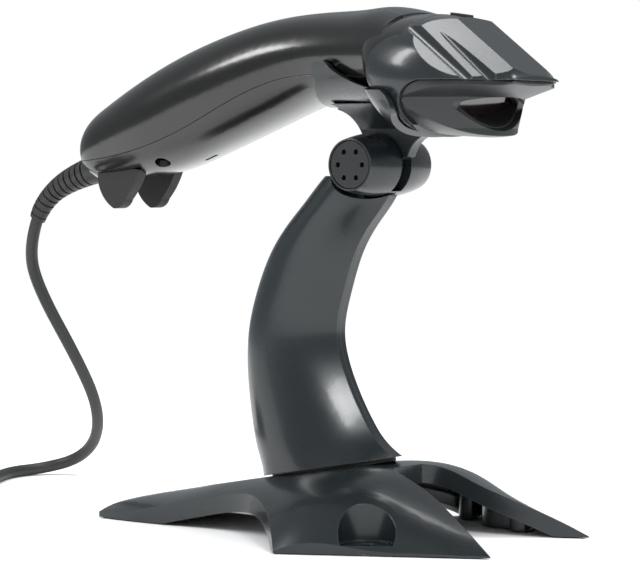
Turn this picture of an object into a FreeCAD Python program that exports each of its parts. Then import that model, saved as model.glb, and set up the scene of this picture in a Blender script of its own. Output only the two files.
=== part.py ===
import FreeCAD, Part

import math
import os

import Sketcher

# A corded barcode scanner resting in the tilting cradle of its curved desk stand.
# +X points the way the scanner looks, +Y is its left, +Z is up, and the origin is on the
# table under the middle of the whole outline, cable left out. Shapes are drawn from the
# middle of the stand, and each sub-part's Placement moves it from there to the origin.
# Sizes are in millimetres.

V = FreeCAD.Vector
doc = FreeCAD.newDocument("scanner_and_stand")

SIZES = [
    # stand
    ("stand_x", 10.1, "origin to the middle of the stand, along X"),
    ("base_rear_reach", 77.7, "origin to the rear edge of the rear foot"),
    ("base_front_reach", 78.3, "origin to the tips of the two front feet"),
    ("base_half_width", 57.3, "origin to the widest corner of a front foot"),
    ("base_crown", 20.5, "height of the roof under the middle of the neck"),
    ("base_wall", 2.4, "wall of the base shell"),
    ("skirt_depth", 6.0, "depth of the skirt that hangs round each arch"),
    ("floor_gap", 0.4, "gap between the base edge and the table"),
    ("seam_height", 19.6, "height of the neck seam above the origin"),
    ("seam_slope", 10.2, "angle of the neck seam, rising to the front, in degrees"),
    ("seam_gap", 0.5, "shadow gap between neck and base"),
    ("foot_post_radius", 3.6, "radius of the posts that carry the rubber feet"),
    ("foot_pad_radius", 3.0, "radius of a rubber foot"),
    ("foot_pad_thickness", 1.8, "thickness of a rubber foot"),
    ("fix_hole_radius", 2.25, "radius of the counter fixing holes"),
    ("fix_hole_y", 41.0, "sideways distance of a counter fixing hole"),
    ("fix_hole_x", 43.0, "forward distance of the counter fixing holes"),
    ("fix_pocket_radius", 8.6, "radius of the pocket round a fixing hole"),
    ("fix_floor_height", 3.0, "height of the pocket floor above the table"),
    ("weight_thickness", 4.0, "thickness of the steel ballast plate"),
    ("neck_wall", 2.2, "wall of the neck shells"),
    ("neck_half_width", 15.6, "half width of the neck"),
    # knuckle
    ("knuckle_x", 18.5, "forward distance of the tilt axis"),
    ("knuckle_z", 116.0, "height of the tilt axis"),
    ("barrel_half_length", 16.4, "tilt axis: middle to barrel end"),
    ("barrel_end_radius", 8.1, "radius of the crowned barrel at its ends"),
    ("barrel_mid_radius", 10.2, "radius of the crowned barrel in the middle"),
    ("slot_half_width", 2.7, "half width of the slot for the cradle's blade"),
    ("slot_floor", 8.2, "depth of the slot floor below the tilt axis"),
    ("cap_radius", 7.2, "radius of the barrel's end caps"),
    ("cap_thickness", 2.0, "thickness of the end caps"),
    ("cap_gap", 0.35, "clearance round an end cap"),
    ("cap_hole_radius", 0.9, "radius of the six holes in a cap"),
    ("cap_hole_circle", 4.6, "radius of the circle of cap holes"),
    ("bolt_radius", 2.5, "radius of the pivot bolt"),
    ("bolt_head_radius", 4.2, "radius of the bolt head and across the nut's flats"),
    ("bolt_head_depth", 3.2, "depth of the bolt head and of the nut"),
    ("pivot_clearance", 0.05, "radial clearance on the pivot bolt"),
    ("washer_radius", 6.6, "radius of the friction washers"),
    ("washer_thickness", 0.5, "thickness of the friction washers"),
    # cradle
    ("blade_half_thickness", 2.0, "half thickness of the cradle's blade"),
    ("blade_hub_radius", 7.4, "radius of the blade round the bolt"),
    ("cup_wall", 2.2, "wall of the cradle cup"),
    ("cup_gap", 0.5, "gap between scanner and cup"),
    ("magnet_radius", 3.0, "radius of the in-stand sensing magnet"),
    ("magnet_thickness", 1.2, "thickness of the in-stand sensing magnet"),
    # scanner
    ("handle_reach", 117.0, "tilt axis to the butt of the handle, along X"),
    ("handle_half_width", 20.0, "half width of the handle"),
    ("head_reach", 58.0, "tilt axis to the front of the hood, along X"),
    ("head_half_width", 33.0, "half width of the head"),
    ("shell_wall", 2.0, "wall of the scanner's shells"),
    ("shell_seam", 0.15, "gap at the seams of the scanner's shells"),
    ("bezel_inset", 1.2, "how far the window bezel stands inside the hood"),
    ("window_thickness", 1.5, "thickness of the scan window"),
    ("gasket_width", 1.4, "width of the window gasket"),
    ("button_gap", 0.4, "gap round the long top button"),
    ("button_travel", 1.4, "largest press at the front of the button, in degrees"),
    ("board_thickness", 1.6, "thickness of the circuit boards"),
    ("board_length", 68.0, "length of the main board"),
    ("board_width", 20.0, "width of the main board"),
    ("screw_radius", 1.25, "radius of the shell screws"),
    ("screw_head_radius", 2.4, "radius of the shell screw heads"),
    ("plunger_radius", 1.5, "radius of the switch plunger"),
    ("mirror_size", 11.0, "width of the scanning mirror"),
    # cable
    ("cable_radius", 2.1, "radius of the cable"),
    ("boot_radius", 5.2, "radius of the strain relief at the handle"),
    ("coil_radius", 23.6, "mean radius of the coiled cable"),
    ("coil_section", 12.6, "width and height of the coil's section"),
]

sheet = doc.addObject("Spreadsheet::Sheet", "Sizes")
for row, (alias, value, note) in enumerate(SIZES, start=1):
    sheet.set("A%d" % row, note)
    sheet.set("B%d" % row, str(value))
    sheet.setAlias("B%d" % row, alias)
doc.recompute()


def size(alias):
    """A driving dimension from the sheet, in millimetres or degrees."""
    return float(sheet.get(alias))


PARTS = []


def keep(item):
    """List an object as one of the model's sub-parts."""
    PARTS.append(item)
    return item


def keep_shape(label, shape, place=None):
    """A sub-part whose shape is worked out with Part's own functions."""
    item = doc.addObject("Part::Feature", label)
    item.Label = label
    item.Shape = shape
    stand_place = FreeCAD.Placement(V(size("stand_x"), 0, 0), FreeCAD.Rotation())
    item.Placement = stand_place if place is None else stand_place.multiply(place)
    return keep(item)


# ---------------------------------------------------------------- parametric building blocks

def new_body(label):
    """An empty body; its features are added by the functions below."""
    body = doc.addObject("PartDesign::Body", label)
    body.Label = label
    return keep(body)


def new_sketch(body, role):
    """A sketch on one of the body's own origin planes."""
    sketch = body.newObject("Sketcher::SketchObject", body.Name + "_sketch")
    plane = [feature for feature in body.Origin.OriginFeatures if feature.Role == role][0]
    sketch.AttachmentSupport = [(plane, "")]
    sketch.MapMode = "FlatFace"
    return sketch


def bind_point(sketch, edge, end, across, along):
    """Fix one point of a sketch by two expressions measured from the sketch's origin."""
    for kind, rule in (("DistanceX", across), ("DistanceY", along)):
        number = sketch.addConstraint(Sketcher.Constraint(kind, -1, 1, edge, end, 1.0))
        sketch.setExpression("Constraints[%d]" % number, rule)


def add_polygon(sketch, corners):
    """A closed outline whose corners are pairs of expressions."""
    count = len(corners)
    spots = [V(math.cos(2 * math.pi * k / count), math.sin(2 * math.pi * k / count), 0) for k in range(count)]
    first = sketch.GeometryCount
    for k in range(count):
        sketch.addGeometry(Part.LineSegment(spots[k], spots[(k + 1) % count]), False)
    for k in range(count):
        following = first + (k + 1) % count
        sketch.addConstraint(Sketcher.Constraint("Coincident", first + k, 2, following, 1))
    for k, (across, along) in enumerate(corners):
        bind_point(sketch, first + k, 1, across, along)


def add_circle(sketch, across, along, radius):
    """A circle whose centre and radius are expressions."""
    number = sketch.addGeometry(Part.Circle(V(0, 0, 0), V(0, 0, 1), 1.0), False)
    bind_point(sketch, number, 3, across, along)
    fixed = sketch.addConstraint(Sketcher.Constraint("Radius", number, 1.0))
    sketch.setExpression("Constraints[%d]" % fixed, radius)


def pad(body, sketch, length, mirrored=False):
    """Extrude a sketch by an expression."""
    feature = body.newObject("PartDesign::Pad", body.Name + "_pad")
    feature.Profile = sketch
    feature.Midplane = mirrored
    feature.setExpression("Length", length)
    return feature


def pocket_through(body, sketch):
    """Cut a sketch right through the body, both ways."""
    doc.recompute()
    before = body.Shape.Volume
    feature = body.newObject("PartDesign::Pocket", body.Name + "_pocket")
    feature.Profile = sketch
    feature.Type = 1
    feature.Midplane = True
    doc.recompute()
    if body.Shape.Volume >= before:
        raise ValueError(body.Label + ": the pocket cuts nothing")
    return feature


def revolve(body, sketch):
    """Spin a sketch once round its own vertical axis."""
    feature = body.newObject("PartDesign::Revolution", body.Name + "_revolution")
    feature.Profile = sketch
    feature.ReferenceAxis = (sketch, ["V_Axis"])
    feature.Angle = 360.0
    return feature


def place(item, x, y, z, turn=None):
    """Put a sub-part at expressions for its position, with a fixed turn."""
    if turn is not None:
        item.Placement = FreeCAD.Placement(V(0, 0, 0), turn)
    item.setExpression("Placement.Base.x", "Sizes.stand_x + " + x)
    item.setExpression("Placement.Base.y", y)
    item.setExpression("Placement.Base.z", z)


ALONG_LEFT = FreeCAD.Rotation(V(1, 0, 0), -90)
ALONG_RIGHT = FreeCAD.Rotation(V(1, 0, 0), 90)


def turned_part(label, outline, x, y, z, turn=None):
    """A turned piece: radius and height expressions in the XZ plane, spun round Z."""
    body = new_body(label)
    sketch = new_sketch(body, "XZ_Plane")
    add_polygon(sketch, outline)
    revolve(body, sketch)
    place(body, x, y, z, turn)
    return body


def placed_cylinder(radius, height, foot, direction):
    """A plain cylinder standing on a point."""
    return Part.makeCylinder(radius, height, foot, direction)


def prism_y(wire, half_width):
    """A closed outline in the XZ plane, extruded the same way to both sides."""
    face = Part.Face(wire)
    face.translate(V(0, -half_width, 0))
    return face.extrude(V(0, 2 * half_width, 0))


def polygon_xz(points):
    """A closed outline of straight lines in the XZ plane."""
    corners = [V(x, 0, z) for x, z in points]
    return Part.makePolygon(corners + corners[:1])


def mirror_y(shape):
    """The same shape on the other side of the middle plane."""
    return shape.mirror(V(0, 0, 0), V(0, 1, 0))


def largest_solid(shape):
    """The biggest solid of a boolean's result."""
    return sorted(shape.Solids, key=lambda solid: solid.Volume)[-1]


def group(shapes):
    """Several separate solids as one node."""
    return Part.makeCompound(shapes)


# ---------------------------------------------------------------- base of the stand
# A hollow moulded shell on three broad feet. Its roof falls from the neck to the table, and
# three arches, one in front and one on each side, are cut out between the feet.

ROOF_STATIONS = [
    # share of the reach (rear negative), crest height as a share of the crown, half width share
    (-1.08, 0.16, 0.500),
    (-1.00, 0.24, 0.510),
    (-0.73, 0.45, 0.575),
    (-0.54, 0.60, 0.645),
    (-0.32, 0.785, 0.720),
    (-0.12, 0.90, 0.840),
    (0.06, 1.00, 0.940),
    (0.26, 1.09, 1.015),
    (0.42, 1.05, 0.945),
    (0.60, 0.80, 0.790),
    (0.74, 0.60, 0.690),
    (0.87, 0.445, 0.600),
    (1.00, 0.32, 0.510),
    (1.08, 0.24, 0.460),
]
ROOF_POWER = 3.0
ROOF_STEPS = 6
ROOF_OVERHANG = 1.14


def base_x(share):
    """A place along the base as a share of its front or rear reach."""
    reach = size("base_front_reach") if share > 0 else size("base_rear_reach")
    return share * reach


def roof_solid(drop):
    """Everything under the roof surface, lowered by drop."""
    rows = []
    for share, crest_share, width_share in ROOF_STATIONS:
        crest = crest_share * size("base_crown")
        half_width = width_share * size("base_half_width")
        row = []
        for step in range(-ROOF_STEPS, ROOF_STEPS + 1):
            side = ROOF_OVERHANG * step / ROOF_STEPS
            height = crest * (1 - abs(side) ** ROOF_POWER)
            row.append(V(base_x(share), side * half_width, height - drop))
        rows.append(row)
    surface = Part.BSplineSurface()
    surface.interpolate(rows)
    return surface.toShape().extrude(V(0, 0, -60))


def plan_wire(inset):
    """The outline of the base on the table, drawn inset by a wall."""
    rear = base_x(-1.0) + inset
    front = base_x(1.0) - 2.2 * inset
    wide = size("base_half_width")
    arch = [
        (rear, 0.424 * wide - inset),
        (base_x(-0.68), 0.452 * wide - inset),
        (base_x(-0.37), 0.462 * wide - inset),
        (base_x(-0.16), 0.520 * wide - inset),
        (base_x(0.00), 0.655 * wide - inset),
        (base_x(0.155) + 0.4 * inset, 0.850 * wide - inset),
        (base_x(0.258) + inset, wide - 1.25 * inset),
    ]
    notch = [
        (front, 0.487 * wide),
        (base_x(0.74) - 0.9 * inset, 0.322 * wide + 0.9 * inset),
        (base_x(0.58) - inset, 0.235 * wide + inset),
        (base_x(0.42) - inset, 0.188 * wide + inset),
        (base_x(0.376) - inset, 0.13 * wide),
    ]
    left_arch = Part.BSplineCurve()
    left_arch.interpolate([V(x, y, 0) for x, y in arch])
    left_notch = Part.BSplineCurve()
    left_notch.interpolate([V(x, y, 0) for x, y in notch])
    left = [left_arch.toShape(), left_notch.toShape()]
    right = [mirror_y(edge) for edge in left]
    corner = V(arch[-1][0], arch[-1][1], 0)
    tip = V(notch[0][0], notch[0][1], 0)
    inner = V(notch[-1][0], notch[-1][1], 0)
    heel = V(arch[0][0], arch[0][1], 0)
    edges = left + right
    edges.append(Part.makeLine(corner, tip))
    edges.append(Part.makeLine(V(corner.x, -corner.y, 0), V(tip.x, -tip.y, 0)))
    edges.append(Part.makeLine(inner, V(inner.x, -inner.y, 0)))
    edges.append(Part.makeLine(heel, V(heel.x, -heel.y, 0)))
    return Part.Wire(Part.__sortEdges__(edges))


def seam_block(lift):
    """Everything above the sloping neck seam, lifted by a gap."""
    block = Part.makeBox(300, 200, 200, V(-150, -100, 0))
    block.rotate(V(0, 0, 0), V(0, 1, 0), -size("seam_slope"))
    block.translate(V(0, 0, size("seam_height") + lift))
    return block


floor_gap = size("floor_gap")
base_wall = size("base_wall")
plan_height = 40.0
plan_outer = Part.Face(plan_wire(0.0))
plan_outer.translate(V(0, 0, floor_gap))
base_block = plan_outer.extrude(V(0, 0, plan_height)).common(roof_solid(0.0)).cut(seam_block(0.0))
plan_inner = Part.Face(plan_wire(base_wall))
plan_inner.translate(V(0, 0, -1))
base_hollow = plan_inner.extrude(V(0, 0, plan_height)).common(roof_solid(base_wall))
base_hollow = base_hollow.cut(seam_block(-base_wall - 1.2))
shell = largest_solid(base_block.cut(base_hollow))

# The arches open the skirt between the feet: everything lower than the skirt is taken away
# beside the front notch and beside each side arch.
low_block = roof_solid(size("skirt_depth"))
wide = size("base_half_width")
front_zone = Part.makePolygon([V(base_x(0.34), -0.28 * wide, -1), V(base_x(0.62), -0.36 * wide, -1),
                               V(base_x(0.90), -0.47 * wide, -1), V(base_x(0.97), -0.35 * wide, -1),
                               V(base_x(0.97), 0.35 * wide, -1), V(base_x(0.90), 0.47 * wide, -1),
                               V(base_x(0.62), 0.36 * wide, -1), V(base_x(0.34), 0.28 * wide, -1),
                               V(base_x(0.34), -0.28 * wide, -1)])
side_zone = Part.makePolygon([V(base_x(-0.90), 0.40 * wide, -1), V(base_x(-0.16), 0.40 * wide, -1),
                              V(base_x(0.06), 0.56 * wide, -1), V(base_x(0.26), 0.80 * wide, -1),
                              V(base_x(0.20), 0.97 * wide, -1), V(base_x(-0.90), 0.97 * wide, -1),
                              V(base_x(-0.90), 0.40 * wide, -1)])
left_zone = Part.Face(side_zone).extrude(V(0, 0, 30))
zones = [Part.Face(front_zone).extrude(V(0, 0, 30)), left_zone, mirror_y(left_zone)]
for zone in zones:
    shell = largest_solid(shell.cut(low_block.common(zone)))

# Fixing pockets: a flat floor with a screw hole, sunk in the slope of each front foot.
pocket_radius = size("fix_pocket_radius")
fix_floor = size("fix_floor_height")
fix_spots = [V(size("fix_hole_x"), side * size("fix_hole_y"), 0) for side in (1, -1)]
for spot in fix_spots:
    pillar = placed_cylinder(pocket_radius + base_wall, plan_height, spot + V(0, 0, floor_gap), V(0, 0, 1))
    shell = shell.fuse(pillar.common(base_block))
    shell = shell.cut(placed_cylinder(pocket_radius, plan_height, spot + V(0, 0, fix_floor), V(0, 0, 1)))
    shell = shell.cut(placed_cylinder(size("fix_hole_radius"), plan_height, spot - V(0, 0, 1), V(0, 0, 1)))

# Posts inside the feet carry the rubber pads.
pad_thickness = size("foot_pad_thickness")
pad_radius = size("foot_pad_radius")
foot_spots = [V(base_x(0.66), side * 0.53 * wide, 0) for side in (1, -1)]
foot_spots += [V(base_x(0.28), side * 0.80 * wide, 0) for side in (1, -1)]
foot_spots += [V(base_x(-0.84), side * 0.27 * wide, 0) for side in (1, -1)]
for spot in foot_spots:
    post = placed_cylinder(size("foot_post_radius"), plan_height, spot + V(0, 0, floor_gap), V(0, 0, 1))
    shell = shell.fuse(post.common(base_block))
    shell = shell.cut(placed_cylinder(pad_radius, pad_thickness + 0.2, spot - V(0, 0, 0.2), V(0, 0, 1)))

# The ballast plate hangs from two bosses, whose screws also hold the neck.
boss_spots = [V(-8.0, side * 6.5, 0) for side in (1, -1)]
boss_radius = 4.5
screw_shank = 1.9
screw_head = 3.6
plate_thickness = size("weight_thickness")
plate_foot = 4.6
for spot in boss_spots:
    boss = placed_cylinder(boss_radius, plan_height, spot + V(0, 0, plate_foot + plate_thickness), V(0, 0, 1))
    shell = shell.fuse(boss.common(base_block))
    shell = shell.cut(placed_cylinder(screw_shank + 0.2, plan_height, spot, V(0, 0, 1)))
keep_shape("base_shell", largest_solid(shell))

pads = [placed_cylinder(pad_radius, pad_thickness, spot, V(0, 0, 1)) for spot in foot_spots]
keep_shape("rubber_feet", group(pads))

weight = new_body("base_weight")
weight_sketch = new_sketch(weight, "XY_Plane")
add_polygon(weight_sketch, [("-34", "-16"), ("14", "-19"), ("14", "19"), ("-34", "16")])
weight_pad = pad(weight, weight_sketch, "Sizes.weight_thickness")
weight_holes = new_sketch(weight, "XY_Plane")
for side in ("", "-"):
    add_circle(weight_holes, "-8", side + "6.5", "2.1")
pocket_through(weight, weight_holes)
place(weight, "0", "0", "%g" % plate_foot)

seam_rise = size("seam_height") + size("seam_gap")
screw_length = seam_rise + 14 - plate_foot
base_screws = []
for spot in boss_spots:
    head = placed_cylinder(screw_head, 2.2, spot + V(0, 0, plate_foot - 2.2), V(0, 0, 1))
    shank = placed_cylinder(screw_shank, screw_length, spot + V(0, 0, plate_foot), V(0, 0, 1))
    slot = Part.makeBox(4.8, 0.9, 1.1, spot + V(-2.4, -0.45, plate_foot - 2.3))
    slot_across = Part.makeBox(0.9, 4.8, 1.1, spot + V(-0.45, -2.4, plate_foot - 2.3))
    base_screws.append(head.fuse(shank).cut(slot).cut(slot_across).removeSplitter())
keep_shape("base_screws", group(base_screws))

# ---------------------------------------------------------------- neck
# Two moulded half shells that meet on the middle plane. The section is round behind and runs
# out to a narrow ridge in front, and the whole neck is bowed like the letter C.

NECK_STATIONS = [
    # height as a share of the way from the table to the tilt axis, rear X, front X, width share
    (0.09, -24.5, 33.0, 1.08),
    (0.21, -26.6, 26.2, 1.05),
    (0.30, -28.6, 14.6, 1.02),
    (0.43, -30.0, 6.4, 1.0),
    (0.54, -29.3, 3.2, 0.985),
    (0.66, -25.6, 6.0, 0.965),
    (0.77, -19.6, 10.8, 0.94),
    (0.84, -13.4, 16.2, 0.92),
    (0.905, -6.2, 22.4, 0.90),
    (0.97, 1.0, 27.4, 0.86),
]
RIDGE_HALF_WIDTH = 2.3
knuckle_x = size("knuckle_x")
knuckle_z = size("knuckle_z")


def neck_half(inset):
    """The left half of the neck as a solid, drawn inset by a wall."""
    rings = []
    for share, rear_x, front_x, width_share in NECK_STATIONS:
        z = share * knuckle_z
        rear = rear_x + inset
        front = front_x - 1.3 * inset
        half_width = width_share * size("neck_half_width") - inset
        middle = rear + 0.45 * (front - rear)
        ridge = max(RIDGE_HALF_WIDTH - 0.6 * inset, 0.8)
        flank = Part.BSplineCurve()
        flank.interpolate([
            V(rear, 0, z),
            V(rear + 0.125 * (middle - rear), 0.52 * half_width, z),
            V(rear + 0.45 * (middle - rear), 0.86 * half_width, z),
            V(middle, half_width, z),
            V(middle + 0.36 * (front - middle), 0.89 * half_width, z),
            V(middle + 0.72 * (front - middle), 0.55 * half_width, z),
            V(front, ridge, z),
        ])
        edges = [flank.toShape(), Part.makeLine(V(front, ridge, z), V(front, 0, z))]
        edges.append(Part.makeLine(V(front, 0, z), V(rear, 0, z)))
        rings.append(Part.Wire(edges))
    return Part.makeLoft(rings, True, False)


barrel_seat = placed_cylinder(size("barrel_mid_radius") + 0.4, 60, V(knuckle_x, -30, knuckle_z), V(0, 1, 0))
neck_top_cut = Part.makeBox(60, 60, 30, V(knuckle_x - 30, -30, knuckle_z - 3.5))
neck_outer = neck_half(0.0).common(seam_block(size("seam_gap"))).cut(barrel_seat).cut(neck_top_cut)
neck_hollow = neck_half(size("neck_wall"))
neck_floor = seam_block(size("seam_gap") + size("neck_wall"))
neck_hollow = neck_hollow.common(neck_floor)
half_shell = largest_solid(neck_outer.cut(neck_hollow))
neck_boss = placed_cylinder(4.2, 18.0, boss_spots[0] + V(0, 0, seam_rise - 6), V(0, 0, 1))
half_shell = half_shell.fuse(neck_boss.common(neck_outer))
half_shell = half_shell.cut(placed_cylinder(screw_shank + 0.05, 30, boss_spots[0] + V(0, 0, 4), V(0, 0, 1)))
half_shell = largest_solid(half_shell)
keep_shape("neck_left_shell", half_shell)
keep_shape("neck_right_shell", mirror_y(half_shell))

# ---------------------------------------------------------------- knuckle
# A crowned barrel in two halves, with a slot for the cradle's blade between them, clamped by
# one bolt. Each half has a square stem that stands inside the neck.

barrel_end = size("barrel_half_length")
barrel_end_radius = size("barrel_end_radius")
barrel_mid_radius = size("barrel_mid_radius")
crown = Part.Arc(V(0, -barrel_end, barrel_end_radius), V(0, 0, barrel_mid_radius), V(0, barrel_end, barrel_end_radius))
crown_edges = [
    crown.toShape(),
    Part.makeLine(V(0, barrel_end, barrel_end_radius), V(0, barrel_end, 0)),
    Part.makeLine(V(0, barrel_end, 0), V(0, -barrel_end, 0)),
    Part.makeLine(V(0, -barrel_end, 0), V(0, -barrel_end, barrel_end_radius)),
]
barrel = Part.Face(Part.Wire(crown_edges)).revolve(V(0, 0, 0), V(0, 1, 0), 360)
barrel = Part.makeSolid(barrel) if barrel.ShapeType == "Shell" else barrel
barrel.translate(V(knuckle_x, 0, knuckle_z))
slot_half = size("slot_half_width")
slot_floor = size("slot_floor")
slot_box = Part.makeBox(60, 2 * slot_half, 60, V(knuckle_x - 30, -slot_half, knuckle_z - slot_floor))
left_space = Part.makeBox(60, 60, 60, V(knuckle_x - 30, 0, knuckle_z - 30))
stem = Part.makeBox(9.0, 7.5, 26.0, V(-4.5, 0.0, -27.0))
stem.rotate(V(0, 0, 0), V(0, 1, 0), 33)
stem.translate(V(knuckle_x, 0, knuckle_z))
stem = stem.cut(Part.makeBox(60, 60, 60, V(knuckle_x - 30, -30, knuckle_z - 4)))
bolt_radius = size("bolt_radius")
clearance = size("pivot_clearance")
cap_seat_depth = size("cap_thickness") + 0.3
head_depth = size("bolt_head_depth")
head_radius = size("bolt_head_radius")
half_barrel = barrel.common(left_space).fuse(stem).cut(slot_box)
hole_start = V(knuckle_x, -30, knuckle_z)
half_barrel = half_barrel.cut(placed_cylinder(bolt_radius + clearance, 60, hole_start, V(0, 1, 0)))
cap_seat = placed_cylinder(size("cap_radius") + size("cap_gap"), 20,
                           V(knuckle_x, barrel_end - cap_seat_depth, knuckle_z), V(0, 1, 0))
head_seat = placed_cylinder(head_radius + 0.8, 20,
                            V(knuckle_x, barrel_end - cap_seat_depth - head_depth - 0.6, knuckle_z), V(0, 1, 0))
half_barrel = largest_solid(half_barrel.cut(cap_seat).cut(head_seat).removeSplitter())
keep_shape("barrel_left", half_barrel)
keep_shape("barrel_right", mirror_y(half_barrel))

seat_y = barrel_end - cap_seat_depth - head_depth - 0.6
bolt_foot = "%g - Sizes.bolt_head_depth" % -seat_y
turned_part("pivot_bolt", [
    ("0", "0"),
    ("Sizes.bolt_head_radius - 1.6", "0"),
    ("Sizes.bolt_head_radius - 1.6", "1.4"),
    ("Sizes.bolt_head_radius - 0.4", "1.4"),
    ("Sizes.bolt_head_radius", "1.8"),
    ("Sizes.bolt_head_radius", "Sizes.bolt_head_depth"),
    ("Sizes.bolt_radius", "Sizes.bolt_head_depth"),
    ("Sizes.bolt_radius", "Sizes.bolt_head_depth * 2 + %g" % (2 * seat_y)),
    ("0", "Sizes.bolt_head_depth * 2 + %g" % (2 * seat_y)),
], "Sizes.knuckle_x", bolt_foot, "Sizes.knuckle_z", ALONG_LEFT)

nut = new_body("pivot_nut")
nut_sketch = new_sketch(nut, "XY_Plane")
nut_corners = []
for step in range(6):
    angle = 60 * step
    nut_corners.append(("Sizes.bolt_head_radius * cos(%d)" % angle, "Sizes.bolt_head_radius * sin(%d)" % angle))
add_polygon(nut_sketch, nut_corners)
pad(nut, nut_sketch, "Sizes.bolt_head_depth - 0.2")
nut_hole = new_sketch(nut, "XY_Plane")
add_circle(nut_hole, "0", "0", "Sizes.bolt_radius + 0.02")
pocket_through(nut, nut_hole)
place(nut, "Sizes.knuckle_x", "%g" % seat_y, "Sizes.knuckle_z", ALONG_LEFT)

washer_ring = placed_cylinder(size("washer_radius"), size("washer_thickness"), V(0, 0, 0), V(0, 1, 0))
washer_ring = washer_ring.cut(placed_cylinder(bolt_radius + clearance, 5, V(0, -1, 0), V(0, 1, 0)))
washer_left = washer_ring.copy()
washer_left.translate(V(knuckle_x, slot_half - size("washer_thickness") - 0.05, knuckle_z))
keep_shape("friction_washers", group([washer_left, mirror_y(washer_left)]))


def pivot_cap(label, sign, turn):
    """A round snap-in cap with a ring of six small holes."""
    cap = new_body(label)
    disc = new_sketch(cap, "XY_Plane")
    add_circle(disc, "0", "0", "Sizes.cap_radius")
    pad(cap, disc, "Sizes.cap_thickness")
    hole = new_sketch(cap, "XY_Plane")
    add_circle(hole, "Sizes.cap_hole_circle", "0", "Sizes.cap_hole_radius")
    drilled = pocket_through(cap, hole)
    ring = cap.newObject("PartDesign::PolarPattern", label + "_ring")
    ring.Originals = [drilled]
    ring.Axis = (hole, ["N_Axis"])
    ring.Angle = 360.0
    ring.Occurrences = 6
    cap.Tip = ring
    rim = "%s(Sizes.barrel_half_length - Sizes.cap_thickness - 0.15)" % sign
    place(cap, "Sizes.knuckle_x", rim, "Sizes.knuckle_z", turn)


pivot_cap("pivot_cap_left", "", ALONG_LEFT)
pivot_cap("pivot_cap_right", "-", ALONG_RIGHT)

# ---------------------------------------------------------------- outer forms of the scanner
# Handle and head are drawn as rings round the middle line. Each ring is given by its top and
# bottom points, counted from the tilt axis, and by its half width.

HANDLE_STATIONS = [
    # top share of the handle's reach, top Z, bottom share, bottom Z, half width share
    (-1.000, 8.0, -0.983, -3.0, 0.50),
    (-0.987, 13.5, -0.944, -5.6, 0.67),
    (-0.910, 20.6, -0.842, -5.0, 0.83),
    (-0.790, 28.0, -0.705, -2.2, 0.95),
    (-0.637, 36.0, -0.560, 3.3, 1.00),
    (-0.474, 42.3, -0.423, 9.3, 1.015),
    (-0.303, 46.7, -0.278, 15.8, 1.00),
    (-0.150, 48.1, -0.150, 20.5, 1.02),
    (0.004, 48.6, 0.004, 21.0, 1.15),
    (0.150, 46.8, 0.150, 21.2, 1.36),
]
HEAD_STATIONS = [
    # share of the head's reach, top Z, bottom Z, half width share
    (0.18, 45.2, 23.0, 0.74),
    (0.32, 46.2, 11.6, 0.92),
    (0.46, 46.0, 8.2, 0.985),
    (0.61, 44.6, 7.4, 1.00),
    (0.75, 42.0, 7.2, 0.93),
    (0.89, 35.6, 11.6, 0.62),
    (1.00, 26.6, 23.0, 0.38),
]
RING_POINTS = 16
RING_SQUARENESS = 0.9


def signed_power(value, power):
    """A power that keeps the sign, for rounding a ring."""
    return math.copysign(abs(value) ** power, value)


def body_ring(top, bottom, half_width, inset):
    """A closed smooth ring in the plane of its top and bottom points and Y."""
    up = top.sub(bottom)
    half_height = up.Length / 2 - inset
    reach = half_width - inset
    up.normalize()
    middle = (top + bottom) * 0.5
    points = []
    for step in range(RING_POINTS):
        angle = 2 * math.pi * step / RING_POINTS
        rise = half_height * signed_power(math.cos(angle), RING_SQUARENESS)
        side = reach * signed_power(math.sin(angle), RING_SQUARENESS)
        points.append(middle + up * rise + V(0, side, 0))
    ring = Part.BSplineCurve()
    ring.interpolate(points, True)
    return Part.Wire([ring.toShape()])


def from_knuckle(x, y, z):
    """A point counted from the tilt axis."""
    return V(knuckle_x + x, y, knuckle_z + z)


def handle_form(inset, first=0):
    """The handle as a solid, drawn inset from its outside."""
    rings = []
    reach = size("handle_reach")
    for top_share, top_z, bottom_share, bottom_z, width_share in HANDLE_STATIONS[first:]:
        top_x = top_share * reach
        bottom_x = bottom_share * reach
        if top_share == HANDLE_STATIONS[0][0]:
            top_x += inset
            bottom_x += inset
        top = from_knuckle(top_x, 0, top_z)
        bottom = from_knuckle(bottom_x, 0, bottom_z)
        rings.append(body_ring(top, bottom, width_share * size("handle_half_width"), inset))
    return Part.makeLoft(rings, True, False)


# The hood's flat facets: the way each faces, and a point on it. The middle one slopes down to
# the front, and one on each side falls away from it.
HOOD_FACETS = [
    ((0.609, 0.0, 0.793), (33.4, 0.0, 45.6)),
    ((0.568, 0.36, 0.74), (36.5, 12.6, 41.6)),
    ((0.568, -0.36, 0.74), (36.5, -12.6, 41.6)),
]


def head_form(inset):
    """The head as a solid, drawn inset from its outside."""
    rings = []
    for share, top_z, bottom_z, width_share in HEAD_STATIONS:
        x = share * size("head_reach")
        ring_inset = min(inset, 0.4 * (top_z - bottom_z))
        if share == 1.0:
            x -= inset
        top = from_knuckle(x, 0, top_z)
        bottom = from_knuckle(x, 0, bottom_z)
        rings.append(body_ring(top, bottom, width_share * size("head_half_width"), ring_inset))
    form = Part.makeLoft(rings, True, False)
    for heading, spot in HOOD_FACETS:
        block = Part.makeBox(120, 120, 60, V(-60, -60, -inset))
        block.Placement = FreeCAD.Placement(from_knuckle(*spot), FreeCAD.Rotation(V(0, 0, 1), V(*heading)))
        form = form.cut(block)
    return form


def arc_edge(start, middle, end):
    """An arc in the XZ plane through three points counted from the tilt axis."""
    ends = [from_knuckle(x, 0, z) for x, z in (start, middle, end)]
    return Part.Arc(*ends).toShape()


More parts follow.
